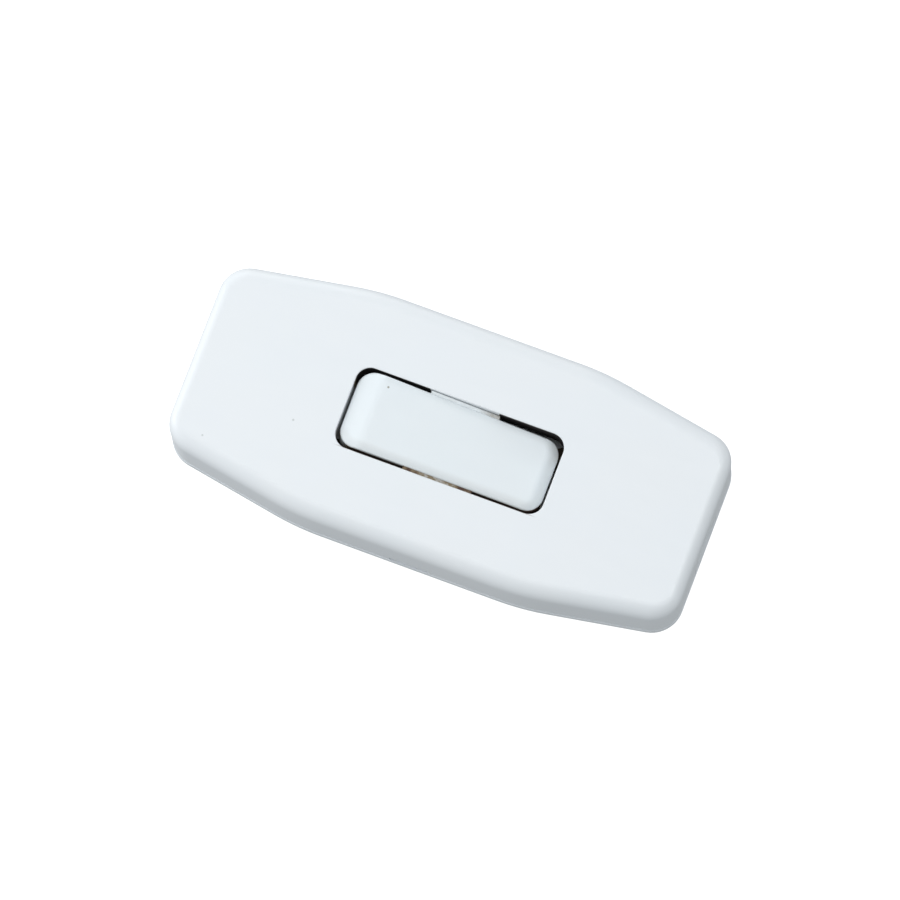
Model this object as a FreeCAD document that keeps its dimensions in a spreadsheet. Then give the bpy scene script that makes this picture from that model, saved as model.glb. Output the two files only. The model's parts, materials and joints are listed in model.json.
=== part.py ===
"""Inline cord switch: a two-part moulded casing, a rocker and a two-pole see-saw contact set.

Millimetres. +X runs along the switch to the end whose rocker side is pressed, +Z is up,
and the origin is at the middle of the underside.
"""
import os

import FreeCAD
import Part
import Sketcher

Vector = FreeCAD.Vector
Rotation = FreeCAD.Rotation
Y_AXIS = Vector(0, 1, 0)

# Driving dimensions, grouped by piece.
DIMENSIONS = {
    # Casing, seen from above: a parallel middle, then straight tapers to square ends.
    "case_length": 82.3,
    "case_width": 37.0,
    "taper_start": 18.2,
    "taper_angle": 9.95,
    "corner_radius": 5.0,
    "blend_radius": 45.0,
    # Casing, seen from the side.
    "case_height": 14.0,
    "parting_height": 3.4,
    "rim_step": 0.1,
    "side_edge_radius": 2.5,
    "end_edge_radius": 1.7,
    "base_edge_radius": 2.2,
    "wall": 2.0,
    "top_wall": 2.0,
    "floor": 1.8,
    # Tongue-and-rebate joint between the two halves.
    "lip_wall": 0.9,
    "lip_height": 1.4,
    "lip_clearance": 0.1,
    # Snap hooks beside the pry notches.
    "hook_place": 9.0,
    "hook_width": 6.0,
    "hook_wall": 1.2,
    "hook_height": 5.0,
    "hook_nose": 0.6,
    "hook_clearance": 0.12,
    "notch_width": 6.3,
    "notch_height": 1.2,
    "notch_depth": 0.8,
    # Window and rocker.
    "window_length": 33.3,
    "window_width": 13.0,
    "window_corner": 2.3,
    "collar_wall": 1.2,
    "collar_depth": 2.4,
    "window_edge": 0.15,
    "pressed_end_gap": 0.7,
    "pressed_side_gap": 0.75,
    "raised_end_gap": 0.28,
    "raised_side_gap": 0.45,
    "rocker_corner": 2.6,
    "rocker_tilt": 5.0,
    "rocker_face": 3.2,
    "rocker_skirt": 2.8,
    "rim_radius": 3.0,
    "rim_reach": 1.35,
    "pressed_rim_reach": 2.1,
    "crease_radius": 2.8,
    "rocker_wall": 1.2,
    "rocker_roof": 2.3,
    "rocker_core": 7.2,
    "facet_length": 3.55,
    "facet_angle": 22.0,
    "side_pad_length": 11.0,
    "side_pad_gap": 0.1,
    "side_pad_drop": 0.45,
    # Rocker bearings in the cover.
    "pivot_height": 10.2,
    "trunnion_radius": 1.5,
    "trunnion_clearance": 0.05,
    "trunnion_end_gap": 0.2,
    "cheek_wall": 1.6,
    "cheek_length": 11.0,
    "cheek_depth": 2.4,
    # Plungers and their springs, carried in the rocker.
    "pole_spacing": 6.4,
    "plunger_bore_radius": 1.45,
    "plunger_clearance": 0.08,
    "plunger_guide": 1.6,
    "plunger_shoulder": 0.3,
    "plunger_cone_share": 0.37,
    "plunger_tip_radius": 0.6,
    "nose_share": 0.9,
    "plunger_air": 0.08,
    "spring_wire": 0.32,
    "spring_turns": 3.5,
    "spring_side_gap": 0.12,
    "spring_end_gap": 0.03,
    # See-saw contact arms and the contact buttons.
    "arm_axis_height": 4.6,
    "arm_throw": 10.0,
    "arm_thickness": 0.6,
    "arm_width": 2.4,
    "arm_reach": 7.4,
    "lug_radius": 0.35,
    "lug_clearance": 0.05,
    "contact_place": 6.0,
    "contact_radius": 1.1,
    "contact_height": 0.6,
    "contact_bevel": 0.2,
    "contact_air": 0.08,
    # Terminals.
    "strip_thickness": 0.8,
    "strip_width": 2.8,
    "strip_knee": 12.0,
    "fixed_strip_start": 4.4,
    "ear_wall": 0.5,
    "ear_length": 3.0,
    "ear_rise": 0.9,
    "ear_clearance": 0.15,
    "pillar_start": 17.6,
    "pillar_length": 5.0,
    "pillar_width": 5.0,
    "pillar_height": 5.0,
    "pillar_offset": 6.2,
    "wire_hole_radius": 1.4,
    "wire_hole_height": 2.2,
    "screw_hole_radius": 1.5,
    # Terminal and clamp screws.
    "screw_clearance": 0.08,
    "screw_head_radius": 2.1,
    "screw_head_height": 1.6,
    "screw_slot_width": 0.6,
    "screw_slot_depth": 0.8,
    "screw_backed_off": 0.5,
    "screw_tip_gap": 0.3,
    "screw_point": 0.4,
    # Cord inlets and the clamps behind them.
    "cord_axis_height": 6.2,
    "inlet_radius": 3.2,
    "inlet_flare": 0.7,
    "tongue_width": 8.8,
    "tongue_clearance": 0.1,
    "clamp_inset": 10.0,
    "clamp_width": 5.0,
    "clamp_groove_radius": 3.0,
    "clamp_gap": 0.5,
    "clamp_foot": 2.2,
    "clamp_arch": 1.4,
    "clamp_screw_spacing": 14.4,
    "clamp_screw_length": 6.0,
    "clamp_hole_radius": 1.5,
    "boss_radius": 2.3,
    "saddle_width": 9.4,
    # Rib between the poles, which also stops the rocker.
    "partition_wall": 1.2,
    "partition_length": 31.0,
    "stop_gap": 0.1,
    # Small edges.
    "mould_edge": 0.3,
    "metal_edge": 0.2,
}

doc = FreeCAD.newDocument("inline_cord_switch")
dim = doc.addObject("Spreadsheet::Sheet", "dim")
for row, (alias, value) in enumerate(DIMENSIONS.items(), start=1):
    dim.set(f"A{row}", alias)
    dim.set(f"B{row}", str(value))
    dim.setAlias(f"B{row}", alias)
doc.recompute()


def size(expression):
    """Return the present value of an expression on the sheet, as a plain number."""
    return float(dim.evalExpression(expression))


# Expressions that several pieces share.
TAPER = "tan(dim.taper_angle * 1 deg)"
HALF_TAPER = "tan(dim.taper_angle * 0.5 deg)"
UNDER_TOP = "(dim.case_height - dim.top_wall)"
PRESSED_END = "(dim.window_length / 2 - dim.pressed_end_gap)"
RAISED_END = "(dim.window_length / 2 - dim.raised_end_gap)"
PRESSED_HALF = "(dim.window_width / 2 - dim.pressed_side_gap)"
RAISED_HALF = "(dim.window_width / 2 - dim.raised_side_gap)"
FACET_SLOPE = "tan(dim.facet_angle * 1 deg)"
ROCKER_STOP = (
    "(dim.pivot_height - dim.rocker_skirt * cos(dim.rocker_tilt * 1 deg)"
    f" - {RAISED_END} * sin(dim.rocker_tilt * 1 deg) - dim.stop_gap)"
)
PLUNGER_RADIUS = "(dim.plunger_bore_radius - dim.plunger_clearance)"
TIP_DROP = (
    "(dim.pivot_height - dim.arm_axis_height - (dim.plunger_tip_radius + dim.arm_thickness / 2"
    " + dim.plunger_air) / cos(dim.arm_throw * 1 deg))"
)
SPRING_TOP = "(dim.rocker_face - dim.rocker_roof - dim.spring_end_gap)"
GUIDE_TOP = "(-dim.rocker_skirt + dim.plunger_guide)"
STRIP_TOP = "(dim.floor + dim.strip_thickness)"
PILLAR_TOP = f"({STRIP_TOP} + dim.pillar_height)"
CLOSED_CONTACT = "(dim.arm_axis_height - dim.arm_thickness / 2 - dim.contact_height)"
CLAMP_PLACE = "(dim.case_length / 2 - dim.clamp_inset)"
CLAMP_SEAT = "(dim.cord_axis_height + dim.clamp_gap)"
SCREW_RADIUS = "(dim.screw_hole_radius - dim.screw_clearance)"
CLAMP_SCREW_RADIUS = "(dim.clamp_hole_radius - dim.screw_clearance)"
HOOK_TOP = "(dim.parting_height + dim.hook_height)"


def new_body(name):
    """Start a body whose label is its node's name."""
    body = doc.addObject("PartDesign::Body", name)
    body.Label = name
    return body


def place(obj, x="0", y="0", z="0", turn="0"):
    """Put an object at (x, y, z), turned about Y by an angle, all of them expressions."""
    obj.Placement = FreeCAD.Placement(Vector(), Rotation(Y_AXIS, size(turn)))
    for axis, expression in zip("xyz", (x, y, z)):
        obj.setExpression(f"Placement.Base.{axis}", expression)
    doc.recompute()
    return obj


def plane_sketch(body, name, role, lift):
    """Add an empty sketch on one of the body's origin planes, lifted along the plane's normal."""
    sketch = body.newObject("Sketcher::SketchObject", name)
    plane = next(f for f in body.Origin.OriginFeatures if f.Role == role)
    sketch.AttachmentSupport = [(plane, "")]
    sketch.MapMode = "FlatFace"
    sketch.setExpression("AttachmentOffset.Base.z", lift)
    return sketch


def bind(sketch, kind, geometry, expression, point=1):
    """Hold a point's X or Y distance from the sketch's origin to an expression."""
    constraint = Sketcher.Constraint(kind, -1, 1, geometry, point, size(expression))
    index = sketch.addConstraint(constraint)
    sketch.setExpression(f"Constraints[{index}]", expression)


def polygon(body, name, points, role="XY_Plane", lift="0"):
    """Sketch a closed outline of straight edges through points given as pairs of expressions."""
    sketch = plane_sketch(body, name, role, lift)
    corners = [Vector(size(x), size(y), 0) for x, y in points]
    count = len(points)
    for i in range(count):
        sketch.addGeometry(Part.LineSegment(corners[i], corners[(i + 1) % count]))
    for i in range(count):
        sketch.addConstraint(Sketcher.Constraint("Coincident", i, 2, (i + 1) % count, 1))
    for i, (x, y) in enumerate(points):
        bind(sketch, "DistanceX", i, x)
        bind(sketch, "DistanceY", i, y)
    return sketch


def rectangle(body, name, low, high, role="XY_Plane", lift="0"):
    """Sketch a rectangle between two corners given as pairs of expressions."""
    points = [low, (high[0], low[1]), high, (low[0], high[1])]
    return polygon(body, name, points, role, lift)


def circles(body, name, centres, radius, role="XY_Plane", lift="0"):
    """Sketch equal circles at centres given as pairs of expressions."""
    sketch = plane_sketch(body, name, role, lift)
    for i, (x, y) in enumerate(centres):
        centre = Vector(size(x), size(y), 0)
        sketch.addGeometry(Part.Circle(centre, Vector(0, 0, 1), size(radius)))
        index = sketch.addConstraint(Sketcher.Constraint("Radius", i, size(radius)))
        sketch.setExpression(f"Constraints[{index}]", radius)
        bind(sketch, "DistanceX", i, x, point=3)
        bind(sketch, "DistanceY", i, y, point=3)
    return sketch


def pad(body, sketch, length, down=False, both_ways=False):
    """Raise a sketch into the body's solid."""
    feature = body.newObject("PartDesign::Pad", f"{sketch.Name}_pad")
    feature.Profile = sketch
    feature.setExpression("Length", length)
    feature.Reversed = down
    feature.Midplane = both_ways
    doc.recompute()
    return feature


def pocket(body, sketch, length, up=False, both_ways=False):
    """Cut a sketch out of the body's solid, and make sure that it took something away."""
    before = body.Shape.Volume
    feature = body.newObject("PartDesign::Pocket", f"{sketch.Name}_pocket")
    feature.Profile = sketch
    feature.setExpression("Length", length)
    feature.Reversed = up
    feature.Midplane = both_ways
    doc.recompute()
    if body.Shape.Volume >= before:
        raise RuntimeError(f"{feature.Name} cut nothing")
    return feature


def revolve(body, sketch):
    """Turn a half profile in the XZ plane about the body's Z axis."""
    feature = body.newObject("PartDesign::Revolution", f"{sketch.Name}_turned")
    feature.Profile = sketch
    feature.ReferenceAxis = (sketch, ["V_Axis"])
    feature.Angle = 360
    doc.recompute()
    return feature


def round_edges(body, name, radius, wanted):
    """Fillet the body's edges that a test picks."""
    edges = [f"Edge{i}" for i, edge in enumerate(body.Shape.Edges, start=1) if wanted(edge)]
    base = body.Tip
    feature = body.newObject("PartDesign::Fillet", name)
    feature.Base = (base, edges)
    feature.setExpression("Radius", radius)
    doc.recompute()
    return feature


def upright(edge):
    """Tell whether an edge is a straight line along Z."""
    ends = [vertex.Point for vertex in edge.Vertexes]
    return len(ends) == 2 and abs(ends[0].x - ends[1].x) + abs(ends[0].y - ends[1].y) < 1e-6


def at_height(edge, height):
    """Tell whether an edge lies in the level plane at a height."""
    box = edge.BoundBox
    return abs(box.ZMin - height) < 1e-6 and abs(box.ZMax - height) < 1e-6


def casing_block(name, inset, bottom, height):
    """Make a solid of the casing's plan outline, moved in by an inset, with its corners rounded."""
    half_length = f"(dim.case_length / 2 - {inset})"
    half_width = f"(dim.case_width / 2 - {inset})"
    start = f"(dim.taper_start - {inset} * {HALF_TAPER})"
    half_end = f"({half_width} - ({half_length} - {start}) * {TAPER})"
    points = [
        (f"-{half_length}", f"-{half_end}"),
        (f"-{start}", f"-{half_width}"),
        (start, f"-{half_width}"),
        (half_length, f"-{half_end}"),
        (half_length, half_end),
        (start, half_width),
        (f"-{start}", half_width),
        (f"-{half_length}", half_end),
    ]
    body = new_body(name)
    pad(body, polygon(body, f"{name}_plan", points, lift=bottom), height)
    middle = size(f"({half_length} + {start}) / 2")
    round_edges(body, f"{name}_corners", f"dim.corner_radius - {inset}",
                lambda e: upright(e) and abs(e.CenterOfMass.x) > middle)
    round_edges(body, f"{name}_blends", f"dim.blend_radius - {inset}",
                lambda e: upright(e) and abs(abs(e.CenterOfMass.x) - size(start)) < 1e-6)
    return body


def rounded_box(name, half_length, half_width, corner, bottom, height):
    """Make an upright block with rounded corners, centred on the origin."""
    body = new_body(name)
    low = (f"-{half_length}", f"-{half_width}")
    pad(body, rectangle(body, f"{name}_plan", low, (half_length, half_width), lift=bottom), height)
    round_edges(body, f"{name}_corners", corner, upright)
    return body


def fused(name, pieces):
    """Join solids into one."""
    joined = doc.addObject("Part::MultiFuse", name)
    joined.Shapes = pieces
    doc.recompute()
    return joined


def cut(name, base, tools):
    """Take several tool solids out of a base solid."""
    result = doc.addObject("Part::Cut", name)
    result.Base = base
    result.Tool = tools[0] if len(tools) == 1 else fused(f"{name}_tools", tools)
    result.Refine = True
    doc.recompute()
    return result


def eased(name, base, radius, wanted):
    """Fillet a finished solid's edges that a test picks."""
    rounded = doc.addObject("Part::Fillet", name)
    rounded.Base = base
    amount = size(radius)
    rounded.Edges = [(i, amount, amount) for i, edge in enumerate(base.Shape.Edges, start=1) if wanted(edge)]
    doc.recompute()
    return rounded


def box_between(name, low, high):
    """Make a box between two corners, each given as three expressions."""
    block = doc.addObject("Part::Box", name)
    for side, a, b in zip(("Length", "Width", "Height"), low, high):
        block.setExpression(side, f"({b}) - ({a})")
    return place(block, *low)


def rod_along_x(name, radius, low, high, y="0", z="0"):
    """Make a cylinder along X from low to high."""
    rod = doc.addObject("Part::Cylinder", name)
    rod.setExpression("Radius", radius)
    rod.setExpression("Height", f"({high}) - ({low})")
    return place(rod, low, y, z, turn="90")


def inlet_tools(owner, end, sign):
    """Make the two solids that bore a cord inlet and flare its mouth at half a right angle."""
    inner = f"{sign} * (dim.case_length / 2 - 2 * dim.wall)"
    outer = f"{sign} * dim.case_length / 2"
    low, high = (inner, outer) if sign > 0 else (outer, inner)
    bore = rod_along_x(f"{owner}_inlet_{end}", "dim.inlet_radius", low, high, z="dim.cord_axis_height")
    flare = doc.addObject("Part::Cone", f"{owner}_flare_{end}")
    flare.setExpression("Radius1", "dim.inlet_radius")
    flare.setExpression("Radius2", "dim.inlet_radius + dim.inlet_flare + dim.rim_step")
    flare.setExpression("Height", "dim.inlet_flare + dim.rim_step")
    place(flare, f"{sign} * (dim.case_length / 2 - dim.inlet_flare)", "0", "dim.cord_axis_height",
          turn=f"{sign} * 90")
    return [bore, flare]


def rod_along_y(name, radius, half_length, z="0"):
    """Make a cylinder along Y, as long to one side as to the other."""
    rod = doc.addObject("Part::Cylinder", name)
    rod.setExpression("Radius", radius)
    rod.setExpression("Height", f"2 * ({half_length})")
    rod.Placement = FreeCAD.Placement(Vector(), Rotation(Vector(1, 0, 0), -90))
    rod.setExpression("Placement.Base.y", f"-({half_length})")
    rod.setExpression("Placement.Base.z", z)
    doc.recompute()
    return rod


def rod_along_z(name, radius, low, high, x="0", y="0"):
    """Make a cylinder along Z from low to high."""
    rod = doc.addObject("Part::Cylinder", name)
    rod.setExpression("Radius", radius)
    rod.setExpression("Height", f"({high}) - ({low})")
    return place(rod, x, y, low)


# Each end of the switch and each pole, by name and sign.
ENDS = (("left", -1), ("right", 1))
POLES = (("front", -1), ("rear", 1))


def soften_top(block):
    """Round the cover's top edge, wide along the sides and tighter at the ends.

    The radius runs from one to the other round each plan corner.
    """
    side = size("dim.side_edge_radius")
    end = size("dim.end_edge_radius")
    end_line = size("dim.case_length / 2 - dim.rim_step") - 1e-6
    edges = []
    for index, edge in enumerate(block.Shape.Edges, start=1):
        if not at_height(edge, size("dim.case_height")):
            continue
        on_end = [abs(vertex.Point.x) > end_line for vertex in edge.Vertexes]
        first, last = [end if reached else side for reached in on_end]
        edges.append((index, first, last))
    rounded = doc.addObject("Part::Fillet", "cover_rounded")
    rounded.Base = block
    rounded.Edges = edges
    doc.recompute()
    return rounded


def make_top_cover():
    """Model the cover: a shell with the rocker window, its bearings, the inlets and the catches."""
    rise = "(dim.case_height - dim.parting_height)"
    block = soften_top(casing_block("cover_block", "dim.rim_step", "dim.parting_height", rise))
    inside = casing_block("cover_inside", "(dim.wall + dim.rim_step)", "dim.parting_height",
                          f"{UNDER_TOP} - dim.parting_height")
    rebate = casing_block("cover_rebate", "(dim.wall - dim.lip_wall)", "dim.parting_height",
                          "dim.lip_height + dim.lip_clearance")
    shell = cut("cover_shell", block, [inside, rebate])
    collar_bottom = f"({UNDER_TOP} - dim.collar_depth)"
    collar = rounded_box("window_collar", "(dim.window_length / 2 + dim.collar_wall)",
                         "(dim.window_width / 2 + dim.collar_wall)",
                         "dim.window_corner + dim.collar_wall", collar_bottom,
                         "dim.collar_depth + dim.top_wall / 2")
    cheek_out = "(dim.window_width / 2 + dim.cheek_wall)"
    cheeks = box_between("rocker_cheeks",
                         ("-dim.cheek_length / 2", f"-{cheek_out}", "dim.pivot_height - dim.cheek_depth"),
                         ("dim.cheek_length / 2", cheek_out, f"{UNDER_TOP} + dim.top_wall / 2"))
    window = rounded_box("window_opening", "dim.window_length / 2", "dim.window_width / 2",
                         "dim.window_corner", "dim.parting_height", rise)
    bearing = "(dim.trunnion_radius + dim.trunnion_clearance)"
    across = rod_along_y("bearing_round", bearing, cheek_out, "dim.pivot_height")
    mouth = box_between("bearing_mouth",
                        (f"-{bearing}", f"-{cheek_out}", "dim.pivot_height - dim.cheek_depth"),
                        (bearing, cheek_out, "dim.pivot_height"))
    tools = [window, across, mouth]
    for end, sign in ENDS:
        outer = f"{sign} * dim.case_length / 2"
        inner = f"{sign} * (dim.case_length / 2 - 2 * dim.wall)"
        low, high = (inner, outer) if sign > 0 else (outer, inner)
        tools.extend(inlet_tools("cover", end, sign))
        tools.append(box_between(f"tongue_slot_{end}", (low, "-dim.tongue_width / 2", "dim.parting_height"),
                                 (high, "dim.tongue_width / 2", "dim.cord_axis_height")))
    skin = "(dim.case_width / 2 - dim.rim_step)"
    catch_low = f"{HOOK_TOP} - 2 * dim.hook_nose - dim.hook_clearance"
    catch_half = "(dim.hook_width / 2 + dim.hook_clearance)"
    for pole, sign in POLES:
        face = f"{sign} * {skin}"
        depth = f"{sign} * ({skin} - dim.notch_depth)"
        low, high = (depth, face) if sign > 0 else (face, depth)
        tools.append(box_between(f"pry_notch_{pole}", ("-dim.notch_width / 2", low, "dim.parting_height"),
                                 ("dim.notch_width / 2", high, "dim.parting_height + dim.notch_height")))
        inner = f"{sign} * ({skin} - dim.wall)"
        depth = f"{sign} * ({skin} - dim.wall + dim.hook_nose)"
        low, high = (inner, depth) if sign > 0 else (depth, inner)
        for end, way in ENDS:
            centre = f"{way} * dim.hook_place"
            tools.append(box_between(f"catch_{pole}_{end}", (f"{centre} - {catch_half}", low, catch_low),
                                     (f"{centre} + {catch_half}", high, f"{HOOK_TOP} + dim.hook_clearance")))
    opened = cut("cover_opened", fused("cover_with_bearings", [shell, collar, cheeks]), tools)
    half_length = size("dim.window_length / 2") + 1e-6
    return eased("top_cover", opened, "dim.window_edge",
                 lambda e: at_height(e, size("dim.case_height")) and abs(e.BoundBox.XMax) < half_length)


def make_snap_hook(name, x, sign):
    """Make one of the base's snap hooks, with a nose that points out under the cover's catch."""
    skin = "(dim.case_width / 2 - dim.rim_step - dim.wall - dim.hook_clearance)"
    nose = f"({skin} + dim.hook_nose - dim.hook_clearance)"
    tip = "dim.hook_nose"
    outline = [
        (f"{skin} - dim.hook_wall", "dim.floor / 2"),
        (skin, "dim.floor / 2"),
        (skin, f"{HOOK_TOP} - 2 * {tip}"),
        (nose, f"{HOOK_TOP} - 2 * {tip}"),
        (nose, f"{HOOK_TOP} - {tip}"),
        (f"{skin} - {tip} / 2", HOOK_TOP),
        (f"{skin} - dim.hook_wall", HOOK_TOP),
    ]
    body = new_body(name)
    flipped = [(f"{sign} * ({y})", z) for y, z in outline]
    pad(body, polygon(body, f"{name}_profile", flipped, role="YZ_Plane"), "dim.hook_width", both_ways=True)
    return place(body, x)


def make_base_shell():
    """Model the base: a tray with the lip, hooks, cord tongues, clamp bosses and the pole partition."""
    tray = casing_block("base_block", "0", "0", "dim.parting_height")
    round_edges(tray, "base_foot", "dim.base_edge_radius", lambda e: at_height(e, 0))
    lip = casing_block("base_lip", "(dim.wall - dim.lip_wall + dim.lip_clearance)", "dim.floor",
                       "dim.parting_height + dim.lip_height - dim.floor")
    hollow = casing_block("base_hollow", "dim.wall", "dim.floor",
                          "dim.parting_height + dim.lip_height - dim.floor")
    dish = cut("base_dish", fused("base_with_lip", [tray, lip]), [hollow])
    adds = [dish]
    cuts = []
    for pole, sign in POLES:
        for end, way in ENDS:
            adds.append(make_snap_hook(f"hook_{pole}_{end}", f"{way} * dim.hook_place", sign))
    half = "dim.partition_length / 2"
    adds.append(box_between("pole_partition", (f"-{half}", "-dim.partition_wall / 2", "dim.floor / 2"),
                            (half, "dim.partition_wall / 2", ROCKER_STOP)))
    tongue_half = "(dim.tongue_width / 2 - dim.tongue_clearance)"
    for end, sign in ENDS:
        outer = f"{sign} * (dim.case_length / 2 - dim.rim_step)"
        inner = f"{sign} * (dim.case_length / 2 - dim.rim_step - dim.wall)"
        low, high = (inner, outer) if sign > 0 else (outer, inner)
        adds.append(box_between(f"cord_tongue_{end}", (low, f"-{tongue_half}", "dim.floor"),
                                (high, tongue_half, "dim.cord_axis_height - dim.tongue_clearance")))
        cuts.extend(inlet_tools("base", end, sign))
        near = f"{sign} * {CLAMP_PLACE} - dim.clamp_width / 2"
        far = f"{sign} * {CLAMP_PLACE} + dim.clamp_width / 2"
        adds.append(box_between(f"cord_saddle_{end}", (near, "-dim.saddle_width / 2", "dim.floor / 2"),
                                (far, "dim.saddle_width / 2", "dim.cord_axis_height - dim.clamp_gap")))
        cuts.append(rod_along_x(f"saddle_groove_{end}", "dim.clamp_groove_radius", near, far,
                                z="dim.cord_axis_height"))
        for pole, way in POLES:
            spot = (f"{sign} * {CLAMP_PLACE}", f"{way} * dim.clamp_screw_spacing / 2")
            adds.append(rod_along_z(f"clamp_boss_{end}_{pole}", "dim.boss_radius", "dim.floor / 2",
                                    CLAMP_SEAT, *spot))
            cuts.append(rod_along_z(f"clamp_pilot_{end}_{pole}", "dim.clamp_hole_radius", "dim.floor",
                                    CLAMP_SEAT, *spot))
    return cut("base_shell", fused("base_with_posts", adds), cuts)


def is_wall(face):
    """Tell whether a face stands upright."""
    first_u, last_u, first_v, last_v = face.ParameterRange
    return abs(face.normalAt((first_u + last_u) / 2, (first_v + last_v) / 2).z) < 1e-6


def make_rocker_button():
    """Make the rocker's outer form: a faceted block, rounded wide and then trimmed to its plan outline.

    The rounding is made on a larger block, so it meets the trimmed walls at a slant, steeper at the
    pressed end.
    """
    spare = "(dim.rim_radius - dim.rim_reach)"
    crease = f"(dim.facet_length - {RAISED_END})"
    left = f"(-{RAISED_END} - {spare})"
    right = f"({PRESSED_END} + dim.rim_radius - dim.pressed_rim_reach)"
    facet_foot = f"(dim.rocker_face - ({crease} - {left}) * {FACET_SLOPE})"
    side = [
        (left, "-dim.rocker_skirt"),
        (right, "-dim.rocker_skirt"),
        (right, "dim.rocker_face"),
        (crease, "dim.rocker_face"),
        (left, facet_foot),
    ]
    blank = new_body("rocker_blank")
    pad(blank, polygon(blank, "rocker_side", side, role="XZ_Plane"), f"2 * ({RAISED_HALF} + {spare})",
        both_ways=True)
    round_edges(blank, "blank_corners", f"dim.rocker_corner + {spare}", upright)
    crease_x = size(crease)
    round_edges(blank, "blank_crease", "dim.crease_radius",
                lambda e: abs(e.BoundBox.XMin - crease_x) + abs(e.BoundBox.XMax - crease_x) < 1e-6)
    shoulder = size(facet_foot) - 1e-6
    round_edges(blank, "blank_rim", "dim.rim_radius",
                lambda e: e.BoundBox.ZMin > shoulder and e.BoundBox.YLength < e.BoundBox.XLength + 1)
    outline = [
        (f"-{RAISED_END}", f"-{RAISED_HALF}"),
        (PRESSED_END, f"-{PRESSED_HALF}"),
        (PRESSED_END, PRESSED_HALF),
        (f"-{RAISED_END}", RAISED_HALF),
    ]
    plan = new_body("rocker_plan")
    pad(plan, polygon(plan, "rocker_outline", outline, lift="-dim.rocker_skirt"),
        "dim.rocker_skirt + dim.rocker_face")
    round_edges(plan, "rocker_corners", "dim.rocker_corner", upright)
    trimmed = doc.addObject("Part::Common", "rocker_trimmed")
    trimmed.Base = blank
    trimmed.Tool = plan
    doc.recompute()

    def on_rim(edge):
        """Tell whether an edge lies where the rounding meets a wall."""
        walls = [is_wall(face) for face in trimmed.Shape.ancestorsOfType(edge, Part.Face)]
        return any(walls) and not all(walls) and edge.BoundBox.ZMin > 0

    return eased("rocker_button", trimmed, "dim.mould_edge", on_rim)


def make_rocker():
    """Model the rocker: a button with a facet at its raised end, side pads, trunnions and plunger bores."""
    pad_half = "dim.side_pad_length / 2"
    pad_out = "(dim.window_width / 2 - dim.side_pad_gap)"
    pads = box_between("side_pads", (f"-{pad_half}", f"-{pad_out}", "-dim.rocker_skirt"),
                       (pad_half, pad_out, "dim.rocker_face - dim.side_pad_drop"))
    trunnions = rod_along_y("trunnions", "dim.trunnion_radius",
                            "dim.window_width / 2 + dim.cheek_wall - dim.trunnion_end_gap")
    solid = fused("rocker_with_trunnions", [make_rocker_button(), pads, trunnions])
    core = "dim.rocker_core / 2"
    inner_side = f"({PRESSED_HALF} - dim.rocker_wall)"
    roof = "(dim.rocker_face - dim.rocker_roof)"
    tools = [
        box_between("core_left", (f"dim.rocker_wall - {RAISED_END}", f"-{inner_side}", "-dim.rocker_skirt"),
                    (f"-{core}", inner_side, f"{roof} - dim.facet_length * {FACET_SLOPE}")),
        box_between("core_right", (core, f"-{inner_side}", "-dim.rocker_skirt"),
                    (f"{PRESSED_END} - dim.rocker_wall", inner_side, roof)),
    ]
    for pole, sign in POLES:
        tools.append(rod_along_z(f"plunger_bore_{pole}", "dim.plunger_bore_radius", "-dim.rocker_skirt", roof,
                                 y=f"{sign} * dim.pole_spacing / 2"))
    return place(cut("rocker", solid, tools), z="dim.pivot_height", turn="dim.rocker_tilt")


def make_plunger(pole, sign):
    """Model a plunger: a guided collar, a cone and a round-nosed pin that bears on the arm."""
    shoulder = "(-dim.rocker_skirt - dim.plunger_shoulder)"
    tip = f"(-{TIP_DROP} - dim.plunger_tip_radius)"
    cone_end = f"({shoulder} - dim.plunger_cone_share * ({shoulder} - {tip}))"
    half = [
        ("0", GUIDE_TOP),
        (PLUNGER_RADIUS, GUIDE_TOP),
        (PLUNGER_RADIUS, shoulder),
        ("dim.plunger_tip_radius", cone_end),
        ("dim.plunger_tip_radius", tip),
        ("0", tip),
    ]
    body = new_body(f"plunger_{pole}")
    revolve(body, polygon(body, f"plunger_half_{pole}", half, role="XZ_Plane"))
    lowest = size(tip)
    round_edges(body, f"plunger_nose_{pole}", "dim.plunger_tip_radius * dim.nose_share",
                lambda e: at_height(e, lowest))
    return place(body, y=f"{sign} * dim.pole_spacing / 2", z="dim.pivot_height", turn="dim.rocker_tilt")


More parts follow.
